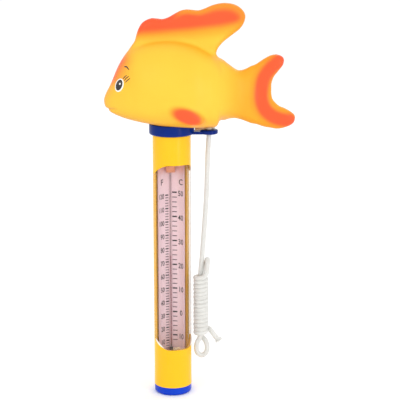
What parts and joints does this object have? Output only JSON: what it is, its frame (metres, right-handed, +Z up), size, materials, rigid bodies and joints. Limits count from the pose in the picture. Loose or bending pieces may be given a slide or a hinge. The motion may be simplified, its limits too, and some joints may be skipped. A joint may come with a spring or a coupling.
{
  "type": "floating pool thermometer",
  "caption": "Floating fish-shaped pool thermometer: a weighted tube with a windowed scale hangs under a hollow vinyl fish, with a cord tether on a swivel ring.",
  "frame": {"origin": "centre of the bottom cap's flat base, on the tube's axis", "axes": "+Z up the tube, +X towards the tether's eyelet and the fish's tail, -Y towards the side that shows the scale"},
  "size_m": [0.1106, 0.0472, 0.233],
  "materials": {
    "fish_vinyl": "soft vinyl, satin, yellow with red-orange fin edges",
    "navy_plastic": "gloss",
    "seal_rubber": "matt",
    "tube_plastic": "gloss",
    "clear_plastic": "clear, polished",
    "printed_card": "pale pink card with a printed scale",
    "thermometer_glass": "clear",
    "spirit": "dyed liquid",
    "amber_plastic": "gloss",
    "ivory_plastic": "satin",
    "foam": "matt foam",
    "ballast_steel": "turned",
    "cap_plastic": "gloss",
    "braided_cord": "braided, matt"
  },
  "bodies": {
    "tube": {"neck_stem": "navy_plastic", "stem_seal": "seal_rubber", "body_tube": "tube_plastic", "window": "clear_plastic", "scale_card": "printed_card", "thermometer_glass": "thermometer_glass", "bulb_spirit": "spirit", "stem_clip": "amber_plastic", "upper_holder": "amber_plastic", "lower_holder": "ivory_plastic", "ballast_pad": "foam", "ballast_weight": "ballast_steel", "bottom_cap": "cap_plastic", "cap_seal": "seal_rubber"},
    "float": {"fish_float": "fish_vinyl"},
    "tether": {"tether_collar": "navy_plastic", "tether_knot": "braided_cord", "tether_cord": "braided_cord", "cord_bight": "braided_cord", "cord_hank": "braided_cord", "cord_loop": "braided_cord", "cord_tail": "braided_cord"},
    "spirit": {"spirit_thread": "spirit"}
  },
  "joints": [
    {"name": "collar_swivel", "type": "hinge", "parent": "tube", "child": "tether", "pos_m": [0, 0, 0.1605], "axis": [0, 0, 1], "continuous": true},
    {"name": "fish_turn", "type": "hinge", "parent": "tube", "child": "float", "pos_m": [0, 0, 0.17], "axis": [0, 0, 1], "continuous": true},
    {"name": "spirit_rise", "type": "slide", "parent": "tube", "child": "spirit", "axis": [0, 0, 1], "range_m": [-0.05328, 0.03848], "deforming": ["spirit_thread"]}
  ]
}
